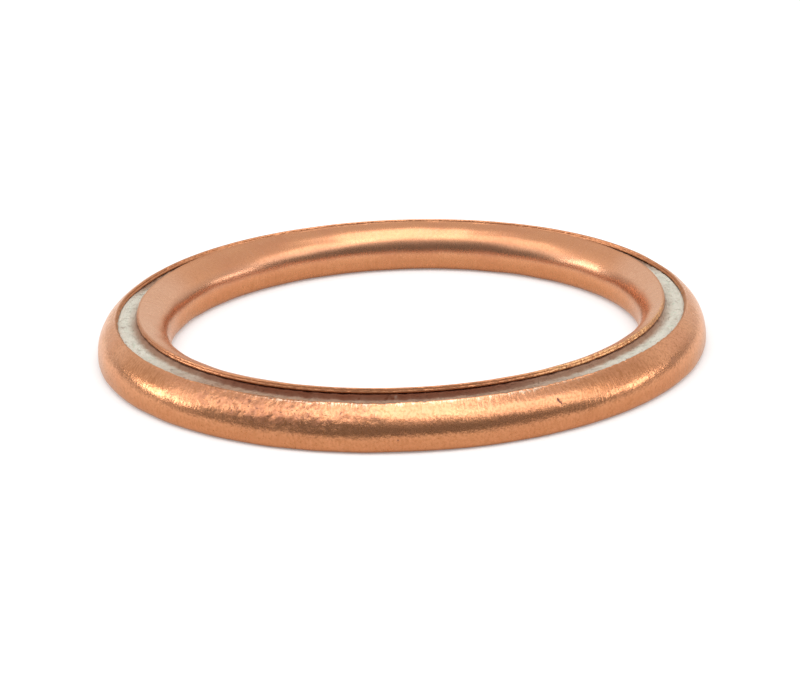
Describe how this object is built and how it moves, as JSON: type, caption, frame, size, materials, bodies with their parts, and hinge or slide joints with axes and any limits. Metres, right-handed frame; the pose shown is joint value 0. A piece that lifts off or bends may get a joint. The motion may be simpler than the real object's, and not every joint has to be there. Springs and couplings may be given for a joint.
{
  "type": "filled copper crush washer",
  "caption": "Round crush washer: a thin copper sheet folded round a pressed fibre ring, with an open seam on top and a plain bore for a plug or bolt.",
  "frame": {"origin": "centre of the closed face, on the ring's axis", "axes": "+Z along the ring's axis, from the closed face to the open seam"},
  "size_m": [0.024, 0.024, 0.002],
  "materials": {
    "copper": "satin rolled sheet with light handling marks",
    "fibre": "matte pressed fibre"
  },
  "bodies": {
    "root": {"copper_jacket": "copper", "fibre_filler": "fibre"}
  },
  "joints": []
}
